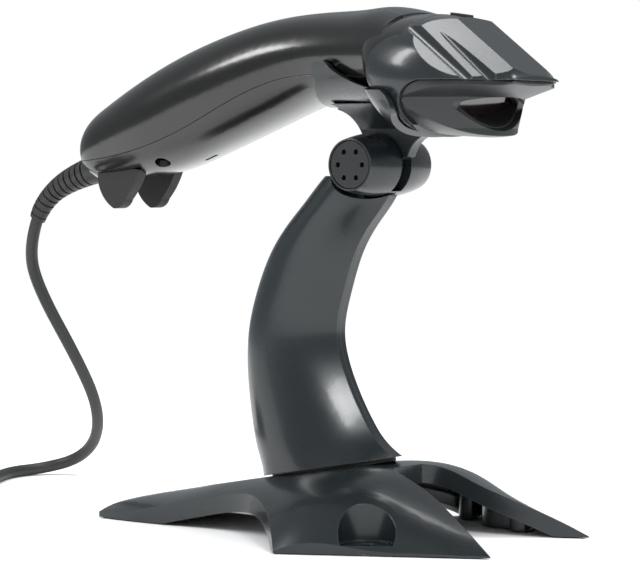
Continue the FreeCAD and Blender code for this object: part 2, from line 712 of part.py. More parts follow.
def line_edge(start, end):
    """A line in the XZ plane between two points counted from the tilt axis."""
    return Part.makeLine(from_knuckle(start[0], 0, start[1]), from_knuckle(end[0], 0, end[1]))


# ---------------------------------------------------------------- cradle
# One moulding: a cup that fits the scanner's throat from below, with a pointed fin on each
# side, on a flat blade that turns in the knuckle's slot.

cup_gap = size("cup_gap")
cup_wall = size("cup_wall")
throat = 6
scanner_room = handle_form(-cup_gap, throat).fuse(head_form(-cup_gap))
cup_outside = handle_form(-cup_gap - cup_wall, throat).fuse(head_form(-cup_gap - cup_wall))
cup_edges = [
    line_edge((-16.5, 12.0), (-16.5, 18.0)),
    line_edge((-16.5, 18.0), (-9.6, 26.0)),
    arc_edge((-9.6, 26.0), (-5.6, 32.0), (-2.2, 29.8)),
    arc_edge((-2.2, 29.8), (5.4, 25.4), (13.5, 22.8)),
    line_edge((13.5, 22.8), (21.5, 22.4)),
    arc_edge((21.5, 22.4), (26.2, 19.4), (24.6, 14.6)),
    line_edge((24.6, 14.6), (17.8, 7.0)),
    line_edge((17.8, 7.0), (17.8, 0.0)),
    line_edge((17.8, 0.0), (-16.5, 12.0)),
]
cup_profile = Part.Wire(cup_edges)
cup = cup_outside.cut(scanner_room).common(prism_y(cup_profile, 60))
blade_half = size("blade_half_thickness")
hub_radius = size("blade_hub_radius")
blade_edges = [
    line_edge((-5.0, 5.5), (-5.6, 9.6)),
    arc_edge((-5.6, 9.6), (-8.2, 13.4), (-15.0, 17.4)),
    line_edge((-15.0, 17.4), (-15.0, 26.0)),
    line_edge((-15.0, 26.0), (18.0, 26.0)),
    line_edge((18.0, 26.0), (18.0, 9.0)),
    arc_edge((18.0, 9.0), (14.2, 6.6), (12.0, 2.6)),
    line_edge((12.0, 2.6), (6.6, 0.6)),
    line_edge((6.6, 0.6), (-5.0, 5.5)),
]
blade = prism_y(Part.Wire(blade_edges), blade_half)
hub = placed_cylinder(hub_radius, 2 * blade_half, V(knuckle_x, -blade_half, knuckle_z), V(0, 1, 0))
gusset_rings = []
for half_thickness, z, rear, front in ((blade_half, 11.2, -5.9, 14.6), (4.2, 14.2, -7.4, 15.2), (11.0, 19.0, -11.5, 15.6)):
    corners = [from_knuckle(rear, -half_thickness, z), from_knuckle(front, -half_thickness, z),
               from_knuckle(front, half_thickness, z), from_knuckle(rear, half_thickness, z)]
    gusset_rings.append(Part.makePolygon(corners + corners[:1]))
gusset = Part.makeLoft(gusset_rings, True, False)
cradle = cup.fuse(blade).fuse(hub).fuse(gusset).cut(scanner_room).cut(handle_form(-cup_gap))
cradle = cradle.cut(placed_cylinder(bolt_radius + clearance, 60, hole_start, V(0, 1, 0)))
magnet_spot = from_knuckle(-2.0, 0, 20.6)
magnet_seat = placed_cylinder(size("magnet_radius") + 0.05, 6, magnet_spot - V(0, 0, 1.6), V(0, 0, 1))
cradle = largest_solid(cradle.cut(magnet_seat))
keep_shape("cradle", cradle)
magnet = placed_cylinder(size("magnet_radius"), size("magnet_thickness"), magnet_spot - V(0, 0, 1.6), V(0, 0, 1))
keep_shape("cradle_magnet", magnet)

# ---------------------------------------------------------------- scanner shells
# The handle is an upper shell and an underside shell; the head is a hood-shaped cover round
# a darker bezel that carries the window; a long tongue along the top is the scan button.

wall = size("shell_wall")
seam = size("shell_seam")
outside = handle_form(0.0).fuse(head_form(0.0))
inside = handle_form(wall).fuse(head_form(wall))
skin = outside.cut(inside)

COVER_SEAM = [(14.6, 0.0), (14.6, 26.5), (18.2, 34.5), (26.5, 38.6), (30.0, 60.0)]


def ahead_of_seam(shift):
    """The room in front of the seam between handle and head cover."""
    edges = [
        line_edge((COVER_SEAM[0][0] + shift, -20), (COVER_SEAM[1][0] + shift, 26.5)),
        arc_edge((COVER_SEAM[1][0] + shift, 26.5), (COVER_SEAM[2][0] + shift, 34.5), (COVER_SEAM[3][0] + shift, 38.6)),
        line_edge((COVER_SEAM[3][0] + shift, 38.6), (COVER_SEAM[4][0] + shift, 60.0)),
        line_edge((COVER_SEAM[4][0] + shift, 60.0), (90.0, 60.0)),
        line_edge((90.0, 60.0), (90.0, -20.0)),
        line_edge((90.0, -20.0), (COVER_SEAM[0][0] + shift, -20)),
    ]
    return prism_y(Part.Wire(edges), 60)


def below_rim(shift):
    """The room of the bezel: under the hood's rim and in front of the cheeks."""
    edges = [
        line_edge((90.0, 25.0 - shift), (37.0, 25.0 - shift)),
        arc_edge((37.0, 25.0 - shift), (29.2 + shift, 20.4), (27.6 + shift, 12.0)),
        line_edge((27.6 + shift, 12.0), (22.6 + shift, 4.0)),
        line_edge((22.6 + shift, 4.0), (22.6 + shift, -20.0)),
        line_edge((22.6 + shift, -20.0), (90.0, -20.0)),
        line_edge((90.0, -20.0), (90.0, 25.0 - shift)),
    ]
    return prism_y(Part.Wire(edges), 60)


UNDERSIDE_SEAM = [(-140.0, 2.0), (-104.0, 2.0), (-84.0, 5.6), (-62.0, 13.2), (-44.0, 21.0), (-24.0, 27.0), (0.0, 27.5), (40.0, 27.5)]


def under_seam(shift):
    """The room below the long seam between the handle's two shells."""
    curve = Part.BSplineCurve()
    curve.interpolate([from_knuckle(x, 0, z - shift) for x, z in UNDERSIDE_SEAM])
    first = UNDERSIDE_SEAM[0]
    last = UNDERSIDE_SEAM[-1]
    edges = [
        curve.toShape(),
        line_edge((last[0], last[1] - shift), (last[0], -60.0)),
        line_edge((last[0], -60.0), (first[0], -60.0)),
        line_edge((first[0], -60.0), (first[0], first[1] - shift)),
    ]
    return prism_y(Part.Wire(edges), 60)


BUTTON_PLAN = [(-39.0, 2.4), (-34.0, 5.6), (-20.0, 8.6), (0.0, 11.0), (20.0, 12.4), (27.0, 12.6)]
button_gap = size("button_gap")


def button_plan(gap):
    """The button's outline seen from above, grown by a gap, as a tall block."""
    points = [V(knuckle_x + x, y + gap, 0) for x, y in BUTTON_PLAN]
    points[-1] += V(1.3 * gap, 0, 0)
    curve = Part.BSplineCurve()
    curve.interpolate(points)
    side = curve.toShape()
    rear = points[0]
    front = points[-1]
    nose = Part.Arc(rear, V(rear.x - 2.2 - gap, 0, 0), V(rear.x, -rear.y, 0)).toShape()
    across = Part.makeLine(front, V(front.x, -front.y, 0))
    outline = Part.Wire(Part.__sortEdges__([side, mirror_y(side), nose, across]))
    face = Part.Face(outline)
    face.translate(V(0, 0, knuckle_z + 36.0))
    return face.extrude(V(0, 0, 40))


button_room = button_plan(button_gap)
handle_skin = skin.cut(ahead_of_seam(-seam)).cut(button_room)
handle_upper = handle_skin.cut(under_seam(-seam))
handle_lower = handle_skin.common(under_seam(0.0))
cover = skin.common(ahead_of_seam(0.0)).cut(below_rim(-seam)).cut(button_room)


def surface_height(x, y):
    """Height of the scanner's upper surface over a spot counted from the tilt axis."""
    plumb = Part.makeLine(from_knuckle(x, y, 17.0), from_knuckle(x, y, 70.0))
    return outside.common(plumb).BoundBox.ZMax


def flute(rear, front, radius, depth):
    """A long round groove in the hood: nothing at its rear end, full depth at the rim."""
    start = V(knuckle_x + rear[0], rear[1], surface_height(*rear) + radius + 1.2)
    end = V(knuckle_x + front[0], front[1], surface_height(*front) + radius - depth)
    way = end - start
    return placed_cylinder(radius, way.Length * 1.6, start - way * 0.1, way)


for side in (1, -1):
    cover = cover.cut(flute((27.0, side * 24.5), (43.0, side * 25.5), 3.0, 0.5))
    cover = cover.cut(flute((34.0, side * 19.2), (49.0, side * 18.6), 2.4, 0.9))

# The mouth for the strain relief, through the butt end of the underside and upper shells.
boot_radius = size("boot_radius")
boot_root = from_knuckle(-size("handle_reach") + 2.0, 0, -0.4)
boot_axis = V(-math.cos(math.radians(17)), 0, -math.sin(math.radians(17)))
mouth = placed_cylinder(boot_radius + 0.2, 30, boot_root - boot_axis * 18, boot_axis)
handle_upper = handle_upper.cut(mouth)
handle_lower = handle_lower.cut(mouth)

# A pin hole in the underside releases the cable's plug.
release_spot = from_knuckle(-68.0, 0, 2.0)
release_hole = Part.makeBox(5.0, 1.6, 20.0, release_spot - V(2.5, 0.8, 10.0))
handle_lower = handle_lower.cut(release_hole)

# Shell screws rise through the underside into bosses of the upper shell.
screw_radius = size("screw_radius")
screw_head_radius = size("screw_head_radius")
shell_screw_spots = [from_knuckle(-80.0, side * 10.5, 0) for side in (1, -1)]
shell_screw_spots += [from_knuckle(-2.0, side * 13.2, 0) for side in (1, -1)]
boss_room = handle_form(0.5 * wall)
shell_screws = []
for spot in shell_screw_spots:
    rear_pair = spot.x < knuckle_x - 40
    seat_z = knuckle_z + (2.4 if rear_pair else 25.4)
    boss_foot = V(spot.x, spot.y, seat_z + 3.4)
    boss = placed_cylinder(screw_radius + 1.4, 60, boss_foot, V(0, 0, 1))
    handle_upper = handle_upper.fuse(boss.common(boss_room).cut(button_room))
    handle_upper = handle_upper.cut(placed_cylinder(screw_radius + 0.03, 13, boss_foot - V(0, 0, 1), V(0, 0, 1)))
    rim_boss = placed_cylinder(screw_head_radius + 1.2, 3.0, V(spot.x, spot.y, seat_z), V(0, 0, 1))
    handle_lower = handle_lower.fuse(rim_boss.common(inside))
    handle_lower = handle_lower.cut(placed_cylinder(screw_head_radius + 0.2, 40, V(spot.x, spot.y, seat_z + 1.6), V(0, 0, -1)))
    handle_lower = handle_lower.cut(placed_cylinder(screw_radius + 0.2, 30, V(spot.x, spot.y, seat_z - 4), V(0, 0, 1)))
    head = placed_cylinder(screw_head_radius, 1.6, V(spot.x, spot.y, seat_z - 0.1), V(0, 0, 1))
    shank = placed_cylinder(screw_radius, 12.0, V(spot.x, spot.y, seat_z + 1.5), V(0, 0, 1))
    recess = Part.makeBox(2.6, 0.7, 0.8, V(spot.x - 1.3, spot.y - 0.35, seat_z - 0.2))
    shell_screws.append(head.fuse(shank).cut(recess).removeSplitter())

keep_shape("handle_upper", largest_solid(handle_upper))
keep_shape("handle_lower", largest_solid(handle_lower))
keep_shape("shell_screws", group(shell_screws))

# The bezel is the lower face of the head, with a wide eye-shaped opening that looks forward
# and down, and the window set back behind it.
bezel_inset = size("bezel_inset")


def face_room(inset):
    """The room behind the bezel's face, which is turned about an upright line in the head."""
    outline = [(0, -10), (29.4, -10), (30.4, 11), (32.6, 20.2), (43.6, 24.4), (44.2, 27), (0, 27)]
    corners = [from_knuckle(15.0 + max(0.0, radius - inset), 0, z) for radius, z in outline]
    face = Part.Face(Part.makePolygon(corners + corners[:1]))
    return face.revolve(from_knuckle(15.0, 0, 0), V(0, 0, 1), 360)


bezel_outside = head_form(bezel_inset).common(below_rim(0.0)).common(face_room(0.0))
bezel_inside = head_form(bezel_inset + wall).common(face_room(wall))
bezel = bezel_outside.cut(bezel_inside)
look = V(math.cos(math.radians(24)), 0, -math.sin(math.radians(24)))
eye_middle = from_knuckle(46.0, 0, 15.6)
eye_half_width = 20.6
eye_half_height = 5.2


def eye_block(half_width, half_height, start, length):
    """A rounded eye-shaped block along the line of sight."""
    across = V(0, 1, 0)
    upward = across.cross(look)
    upward = upward if upward.z > 0 else upward * -1
    base = eye_middle + look * start
    left = base + across * half_width
    right = base - across * half_width
    edges = [
        Part.Arc(left, base + upward * half_height, right).toShape(),
        Part.Arc(right, base - upward * half_height, left).toShape(),
    ]
    return Part.Face(Part.Wire(edges)).extrude(look * length)


bezel = bezel.cut(eye_block(eye_half_width, eye_half_height, -6.0, 60.0))
bezel = largest_solid(bezel)
keep_shape("head_bezel", bezel)

window_thickness = size("window_thickness")
gasket_width = size("gasket_width")
window_half_width = eye_half_width - 3.6
window_half_height = eye_half_height - 0.4
window_start = -10.0
window = eye_block(window_half_width, window_half_height, window_start, window_thickness)
keep_shape("scan_window", window)
gasket = eye_block(window_half_width + gasket_width, window_half_height + gasket_width, window_start, 14.0)
gasket = gasket.common(face_room(wall + 0.1)).common(head_form(bezel_inset + wall + 0.1))
gasket = gasket.cut(eye_block(window_half_width + 0.05, window_half_height + 0.05, window_start - 1, 20.0))
keep_shape("window_gasket", largest_solid(gasket))

lens_spot = from_knuckle(30.6, 0, 0)
lens_block = Part.makeBox(5.6, 4.4, 80, lens_spot - V(2.8, 2.2, 0))
cover = cover.cut(Part.makeBox(5.8, 4.6, 80, lens_spot - V(2.9, 2.3, 0)))
keep_shape("head_cover", largest_solid(cover))
lens = head_form(-0.7).cut(head_form(wall)).common(lens_block)
lens = lens.common(Part.makeBox(20, 20, 30, lens_spot + V(-10, -10, 34)))
keep_shape("status_lens", largest_solid(lens))

# ---------------------------------------------------------------- scan button and its switch
button_skin = outside.cut(inside).common(button_plan(0.0))
post_spot = from_knuckle(8.0, 0, 0)
plunger_top = knuckle_z + 40.0
post_length = 7.0
post = placed_cylinder(2.2, post_length, V(post_spot.x, 0, plunger_top + 0.1), V(0, 0, 1))
hinge_pin = placed_cylinder(0.9, 4.0, from_knuckle(-37.0, -2.0, 44.2), V(0, 1, 0))
button = largest_solid(button_skin.Solids[0].fuse(post).fuse(hinge_pin))
keep_shape("scan_button", button)

board_top = knuckle_z + 34.0
plunger_radius = size("plunger_radius")
turned_part("switch_plunger", [
    ("0", "0"),
    ("Sizes.plunger_radius + 0.8", "0"),
    ("Sizes.plunger_radius + 0.8", "0.6"),
    ("Sizes.plunger_radius", "0.6"),
    ("Sizes.plunger_radius", "3.9"),
    ("0", "3.9"),
], "Sizes.knuckle_x + 8", "0", "Sizes.knuckle_z + 36.1")
switch_case = Part.makeBox(7.0, 7.0, 4.2, V(post_spot.x - 3.5, -3.5, board_top))
switch_case = switch_case.cut(placed_cylinder(plunger_radius + 0.06, 10, V(post_spot.x, 0, board_top + 1), V(0, 0, 1)))
switch_case = switch_case.cut(placed_cylinder(plunger_radius + 1.0, 3.0, V(post_spot.x, 0, board_top + 0.6), V(0, 0, 1)))
keep_shape("switch_housing", switch_case)

# ---------------------------------------------------------------- electronics in the handle
main_board = new_body("main_board")
board_sketch = new_sketch(main_board, "XY_Plane")
add_polygon(board_sketch, [
    ("0", "-Sizes.board_width / 2"),
    ("Sizes.board_length", "-Sizes.board_width / 2"),
    ("Sizes.board_length", "Sizes.board_width / 2"),
    ("0", "Sizes.board_width / 2"),
])
pad(main_board, board_sketch, "Sizes.board_thickness")
place(main_board, "Sizes.knuckle_x - 56", "0", "Sizes.knuckle_z + 34 - Sizes.board_thickness")
chip_spots = [(-50.0, -4.0, 9.0, 9.0, 1.2), (-36.0, -8.0, 7.0, 5.0, 1.0), (-34.0, 2.0, 6.0, 6.0, 1.0), (-12.0, -9.0, 8.0, 5.0, 1.1)]
chips = []
for x, y, length, width, height in chip_spots:
    chips.append(Part.makeBox(length, width, height, from_knuckle(x, y, 34.0)))
keep_shape("board_chips", group(chips))
beeper = placed_cylinder(6.0, 4.0, from_knuckle(-20.0, 4.0, 34.0 - size("board_thickness") - 4.0), V(0, 0, 1))
beeper = beeper.cut(placed_cylinder(1.0, 1.0, from_knuckle(-20.0, 4.0, 34.0 - size("board_thickness") - 4.0), V(0, 0, 1)))
keep_shape("beeper", beeper)

# The cable's plug sits in a jack behind the strain relief.
along = boot_axis * -1


def block_along(start, length, half_width, half_height):
    """A block lying along the cable's axis."""
    upward = V(0, -1, 0).cross(along)
    upward = upward if upward.z > 0 else upward * -1
    corners = []
    for side, rise in ((-1, -1), (1, -1), (1, 1), (-1, 1)):
        corners.append(start + V(0, side * half_width, 0) + upward * (rise * half_height))
    return Part.Face(Part.makePolygon(corners + corners[:1])).extrude(along * length)


jack = block_along(boot_root + along * 9.0, 15.0, 6.6, 5.6)
jack = jack.cut(block_along(boot_root + along * 8.0, 14.0, 5.0, 4.1))
keep_shape("cable_jack", jack)
inner_plug = block_along(boot_root + along * 6.6, 15.0, 4.8, 3.9)
keep_shape("cable_inner_plug", inner_plug)

# ---------------------------------------------------------------- laser engine in the head
engine_floor = from_knuckle(14.0, 0, 24.6)
chassis = Part.makeBox(22.0, 40.0, 7.2, V(engine_floor.x, -20.0, engine_floor.z))
chassis = chassis.cut(Part.makeBox(19.0, 36.0, 8.0, V(engine_floor.x + 1.5, -18.0, engine_floor.z + 1.5)))
chassis = chassis.cut(Part.makeBox(8.0, 30.0, 4.6, V(engine_floor.x + 18.0, -15.0, engine_floor.z + 1.5)))
keep_shape("engine_chassis", chassis.removeSplitter())
laser_spot = V(engine_floor.x + 8.0, -16.0, engine_floor.z + 4.4)
laser = placed_cylinder(2.3, 9.0, laser_spot, V(0, 1, 0)).fuse(placed_cylinder(2.7, 2.0, laser_spot, V(0, 1, 0)))
keep_shape("laser_diode", laser.removeSplitter())
mirror_size = size("mirror_size")
mirror_spot = V(engine_floor.x + 8.0, 4.0, engine_floor.z + 1.9)
mirror = Part.makeBox(1.2, mirror_size, 5.0, V(-0.6, -mirror_size / 2, 0))
mirror.rotate(V(0, 0, 0), V(0, 0, 1), 40)
mirror.translate(mirror_spot)
hinge_pin = placed_cylinder(0.9, 5.0, mirror_spot - V(-0.7, 0.7, 0), V(0, 0, 1))
keep_shape("scan_mirror", mirror.fuse(hinge_pin).removeSplitter())
drive_coil = Part.makeBox(4.0, 6.0, 4.8, V(engine_floor.x + 2.0, 10.4, engine_floor.z + 1.6))
drive_coil = drive_coil.cut(Part.makeBox(6.0, 3.0, 2.0, V(engine_floor.x + 1.0, 11.9, engine_floor.z + 3.0)))
keep_shape("mirror_drive_coil", drive_coil)
sensor = Part.makeBox(2.4, 5.0, 4.0, V(engine_floor.x + 2.0, -4.0, engine_floor.z + 1.6))
keep_shape("light_sensor", sensor)
engine_board = Part.makeBox(22.0, 40.0, 1.2, V(engine_floor.x, -20.0, engine_floor.z + 7.3))
keep_shape("engine_board", engine_board)

# ---------------------------------------------------------------- rest fins
# Two soft fins under the butt keep the handle off a table.
fins = []
for side in (1, -1):
    fin_edges = [
        line_edge((-107.5, 1.0), (-107.5, -5.2)),
        arc_edge((-107.5, -5.2), (-103.5, -12.4), (-100.6, -14.4)),
        arc_edge((-100.6, -14.4), (-98.0, -14.0), (-95.6, -11.4)),
        arc_edge((-95.6, -11.4), (-92.0, -6.8), (-89.4, -1.6)),
        line_edge((-89.4, -1.6), (-107.5, 1.0)),
    ]
    fin = Part.Face(Part.Wire(fin_edges))
    fin.translate(V(0, side * 9.4 - 2.1, 0))
    fins.append(largest_solid(fin.extrude(V(0, 4.2, 0)).cut(handle_form(-0.05))))
keep_shape("rest_fins", group(fins))

# ---------------------------------------------------------------- cable
# The cable leaves a tapered strain relief, drops behind the stand, runs along the table and is
# wound into a coil. Its route is straight runs joined by tangent arcs.

cable_radius = size("cable_radius")
CABLE_DROP = [
    (-127.0, 0.2, 97.6),
    (-132.2, 1.4, 88.0),
    (-133.6, 6.6, 74.0),
    (-134.5, 19.2, 59.0),
]
CABLE_RUN = [
    (-134.5, 19.4, 58.8),
    (-135.6, 34.6, 40.6),
    (-142.6, 49.4, 25.4),
    (-154.6, 61.0, 13.4),
    (-168.0, 65.4, 5.6),
    (-179.0, 58.6, 2.3),
    (-181.6, 44.4, 2.1),
    (-174.4, 29.0, 2.1),
    (-164.6, 13.4, 2.1),
    (-158.8, -3.6, 2.1),
    (-157.6, -21.0, 2.1),
]


def rounded_path(points):
    """Straight runs joined by arcs as large as each pair of runs allows, and its length."""
    corners = [V(*point) for point in points]
    edges = []
    radii = []
    start = corners[0]
    for before, corner, after in zip(corners, corners[1:], corners[2:]):
        inward = corner.sub(before)
        outward = after.sub(corner)
        turn = inward.getAngle(outward)
        shorter = min(inward.Length, outward.Length)
        setback = 0.45 * shorter
        radius = setback / math.tan(turn / 2)
        radii.append(radius)
        inward.normalize()
        outward.normalize()
        arc_start = corner - inward * setback
        arc_end = corner + outward * setback
        toward_centre = outward.sub(inward)
        toward_centre.normalize()
        centre = corner + toward_centre * (radius / math.cos(turn / 2))
        arc_middle = centre - toward_centre * radius
        edges.append(Part.makeLine(start, arc_start))
        edges.append(Part.Arc(arc_start, arc_middle, arc_end).toShape())
        start = arc_end
    edges.append(Part.makeLine(start, corners[-1]))
    return Part.Wire(edges), radii


def cable_tube(label, points):
    """A round tube along a rounded path; its volume is checked against section times length."""
    path, radii = rounded_path(points)
    first = V(*points[0])
    heading = V(*points[1]).sub(first)
    circle = Part.Wire([Part.Circle(first, heading, cable_radius).toShape()])
    tube = path.makePipeShell([circle], True, False)
    expected = math.pi * cable_radius ** 2 * path.Length
    print(label, "radii", ["%.1f" % radius for radius in radii], "length %.1f" % path.Length)
    print(label, "volume %.0f expected %.0f" % (tube.Volume, expected))
    keep_shape(label, tube)
    return path.Length


free_length = cable_tube("cable_upper", CABLE_DROP) + cable_tube("cable_lower", CABLE_RUN)

# The coil lies flat beside the end of the run, which meets its outer turn.
coil_radius = size("coil_radius")
coil_section = size("coil_section")
coil_outer_turn = coil_radius + coil_section / 2 - cable_radius
coil_centre = V(CABLE_RUN[-1][0] - coil_outer_turn, CABLE_RUN[-1][1] - 6.0, 0)
coil_body = new_body("cable_coil")
coil_sketch = new_sketch(coil_body, "XZ_Plane")
add_polygon(coil_sketch, [
    ("Sizes.coil_radius - Sizes.coil_section / 2", "2"),
    ("Sizes.coil_radius - Sizes.coil_section / 2 + 2", "0"),
    ("Sizes.coil_radius + Sizes.coil_section / 2 - 2", "0"),
    ("Sizes.coil_radius + Sizes.coil_section / 2", "2"),
    ("Sizes.coil_radius + Sizes.coil_section / 2", "Sizes.coil_section - 2"),
    ("Sizes.coil_radius + Sizes.coil_section / 2 - 2", "Sizes.coil_section"),
    ("Sizes.coil_radius - Sizes.coil_section / 2 + 2", "Sizes.coil_section"),
    ("Sizes.coil_radius - Sizes.coil_section / 2", "Sizes.coil_section - 2"),
])
revolve(coil_body, coil_sketch)
place(coil_body, "%g" % coil_centre.x, "%g" % coil_centre.y, "0")

# A strap holds the turns on the far side of the coil.
tie_outer = Part.makeBox(coil_section + 2.4, 7.0, coil_section + 1.4,
                         V(coil_centre.x - coil_radius - coil_section / 2 - 1.2, coil_centre.y - 3.5, 0))
tie_inner = Part.makeBox(coil_section + 0.8, 9.0, coil_section + 0.4,
                         V(coil_centre.x - coil_radius - coil_section / 2 - 0.4, coil_centre.y - 4.5, 0.0))
keep_shape("coil_tie", tie_outer.cut(tie_inner))

# The end of the cable bends round the coil's outside and ends in a plug of the common flat kind.
TAIL = [
    (coil_centre.x + 30.6, coil_centre.y - 6.0, 2.1),
    (coil_centre.x + 30.8, coil_centre.y - 17.6, 2.1),
    (coil_centre.x + 24.8, coil_centre.y - 28.6, 2.2),
    (coil_centre.x + 14.0, coil_centre.y - 35.2, 3.1),
    (coil_centre.x + 2.0, coil_centre.y - 37.6, 4.2),
]
tail_length = cable_tube("cable_tail", TAIL)
plug_heading = V(*TAIL[-1]).sub(V(*TAIL[-2]))
plug_heading.z = 0
plug_angle = math.degrees(math.atan2(plug_heading.y, plug_heading.x))
plug_place = FreeCAD.Placement(V(*TAIL[-1]), FreeCAD.Rotation(V(0, 0, 1), plug_angle))
overmould = Part.makeBox(22.0, 15.0, 8.0, V(7.0, -7.5, -4.0))
overmould = overmould.makeFillet(2.0, [edge for edge in overmould.Edges if abs(edge.tangentAt(edge.FirstParameter).x) > 0.9])
neck_piece = Part.makeCone(3.2, 4.0, 9.0, V(-1.0, 0, 0), V(1, 0, 0))
overmould = overmould.fuse(neck_piece).removeSplitter()
overmould = overmould.cut(Part.makeBox(8.0, 12.3, 4.8, V(24.0, -6.15, -2.4)))
overmould = overmould.cut(placed_cylinder(cable_radius + 0.02, 6.0, V(-2.0, 0, 0), V(1, 0, 0)))
keep_shape("usb_overmould", overmould, plug_place)
usb_shell = Part.makeBox(17.5, 12.0, 4.5, V(24.5, -6.0, -2.25))
usb_shell = usb_shell.cut(Part.makeBox(20.0, 11.4, 3.9, V(25.0, -5.7, -1.95)))
for side in (-1, 1):
    usb_shell = usb_shell.cut(Part.makeBox(2.2, 2.0, 10.0, V(34.0, side * 2.6 - 1.0, -5.0)))
keep_shape("usb_shell", usb_shell, plug_place)
tongue = Part.makeBox(15.5, 11.0, 1.8, V(25.2, -5.5, 0.0))
keep_shape("usb_tongue", tongue, plug_place)

# The strain relief: a ribbed cone that bends towards the cable's first run.
boot_points = [
    (boot_root.x + 6.0, 0.0, boot_root.z + 1.9),
    (boot_root.x - 13.0, 0.0, boot_root.z - 3.9),
    (boot_root.x - 24.0, 0.1, boot_root.z - 9.0),
    (CABLE_DROP[0][0], CABLE_DROP[0][1], CABLE_DROP[0][2]),
]
boot_path, boot_radii = rounded_path(boot_points)
tip_radius = cable_radius + 0.7
RIBS = 11
boot_rings = []


def boot_ring(share, radius):
    """A round section of the strain relief at a share of its path."""
    spot = boot_path.discretize(Number=201)[int(round(200 * share))]
    ahead = boot_path.discretize(Number=201)[min(200, int(round(200 * share)) + 1)]
    behind = boot_path.discretize(Number=201)[max(0, int(round(200 * share)) - 1)]
    return Part.Wire([Part.Circle(spot, ahead.sub(behind), radius).toShape()])


for step in range(6):
    share = step / 5
    boot_rings.append(boot_ring(share, boot_radius + (tip_radius - boot_radius) * max(0.0, share * 1.18 - 0.18)))
boot = Part.makeLoft(boot_rings, True, False)
bore_rings = [boot_ring(share, cable_radius) for share in (0.0, 0.2, 0.4, 0.6, 0.8, 1.0)]
for rib in range(RIBS):
    share = 0.30 + 0.66 * rib / (RIBS - 1)
    local = boot_radius + (tip_radius - boot_radius) * max(0.0, share * 1.18 - 0.18)
    spot_index = int(round(200 * share))
    spots = boot_path.discretize(Number=201)
    heading = spots[min(200, spot_index + 1)].sub(spots[max(0, spot_index - 1)])
    heading.normalize()
    groove = placed_cylinder(local + 2.0, 0.8, spots[spot_index] - heading * 0.4, heading)
    groove = groove.cut(placed_cylinder(max(local - 0.7, cable_radius + 0.25), 2.0, spots[spot_index] - heading, heading))
    boot = boot.cut(groove)
boot = largest_solid(boot)
keep_shape("strain_relief", boot)
print("boot radii", boot_radii, "cable to coil %.0f, tail %.0f" % (free_length, tail_length))
turns = 8
print("whole cable about %.0f" % (free_length + tail_length + turns * 2 * math.pi * coil_radius))

# ---------------------------------------------------------------- check and write
doc.recompute()
for item in doc.Objects:
    if "Invalid" in item.State or "Error" in item.State:
        raise ValueError("failed feature: " + item.Name)
for item in PARTS:
    if item.Shape.isNull() or not item.Shape.isValid():
        raise ValueError("bad shape: " + item.Label)
os.makedirs("parts", exist_ok=True)
for item in PARTS:
    item.Shape.exportStep("parts/" + item.Label + ".step")
print(len(PARTS), "sub-parts written")
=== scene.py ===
"""A corded hand scanner resting in the tilting cradle of a three-footed counter stand."""
import math

import bmesh
import bpy
from mathutils import Matrix, Vector


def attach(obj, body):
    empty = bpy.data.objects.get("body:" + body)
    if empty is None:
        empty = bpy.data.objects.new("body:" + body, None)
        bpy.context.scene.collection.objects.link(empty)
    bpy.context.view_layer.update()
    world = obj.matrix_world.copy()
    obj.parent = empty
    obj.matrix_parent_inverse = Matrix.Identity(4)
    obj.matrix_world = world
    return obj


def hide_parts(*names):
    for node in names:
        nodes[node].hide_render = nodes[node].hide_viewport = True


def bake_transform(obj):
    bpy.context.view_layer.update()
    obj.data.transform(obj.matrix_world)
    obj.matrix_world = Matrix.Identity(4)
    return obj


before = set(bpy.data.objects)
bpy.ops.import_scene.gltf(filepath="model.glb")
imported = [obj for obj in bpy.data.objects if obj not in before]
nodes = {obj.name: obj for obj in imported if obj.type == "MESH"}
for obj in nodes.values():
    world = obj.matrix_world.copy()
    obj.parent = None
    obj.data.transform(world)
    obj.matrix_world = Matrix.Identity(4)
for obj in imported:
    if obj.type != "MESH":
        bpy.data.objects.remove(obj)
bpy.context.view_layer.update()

# The camera, fitted to the tips of the stand's feet in the photograph. The lens is in
# millimetres, and every place and length in this file is in metres.
sensor_width = 36.0
focal_length = 154.0
near_clip = 0.05
camera_place = (0.5277, -0.6987, 0.1156)
camera_heading = (-0.599, 0.8007)
camera_dip = math.radians(2.57)


def link(name, data):
    """Put a mesh, lamp or camera in the scene as an object of that name."""
    item = bpy.data.objects.new(name, data)
    bpy.context.scene.collection.objects.link(item)
    return item


def set_inputs(node, values):
    """Set a shader node's inputs by their names."""
    for socket, value in values.items():
        node.inputs[socket].default_value = value


lens = bpy.data.cameras.new("camera")
lens.sensor_width = sensor_width
lens.lens = focal_length
lens.clip_start = near_clip
camera = link("camera", lens)
camera.location = camera_place
looking = Vector((*camera_heading, -math.tan(camera_dip)))
camera.rotation_euler = looking.to_track_quat("-Z", "Y").to_euler()
bpy.context.scene.camera = camera
bpy.context.scene.view_settings.view_transform = "Standard"

# The table: a wide round sheet of pale matt paper under the feet.
table_radius = 1.3
table_shape = bmesh.new()
bmesh.ops.create_circle(table_shape, cap_ends=True, segments=96, radius=table_radius)
table_mesh = bpy.data.meshes.new("table")
table_shape.to_mesh(table_mesh)
table_shape.free()
table = link("table", table_mesh)

paper = bpy.data.materials.new("table_paper")
paper.use_nodes = True
set_inputs(paper.node_tree.nodes["Principled BSDF"], {
    "Base Color": (0.92, 0.92, 0.92, 1),
    "Roughness": 0.7,
    "Specular IOR Level": 0.1,
})
table.data.materials.append(paper)

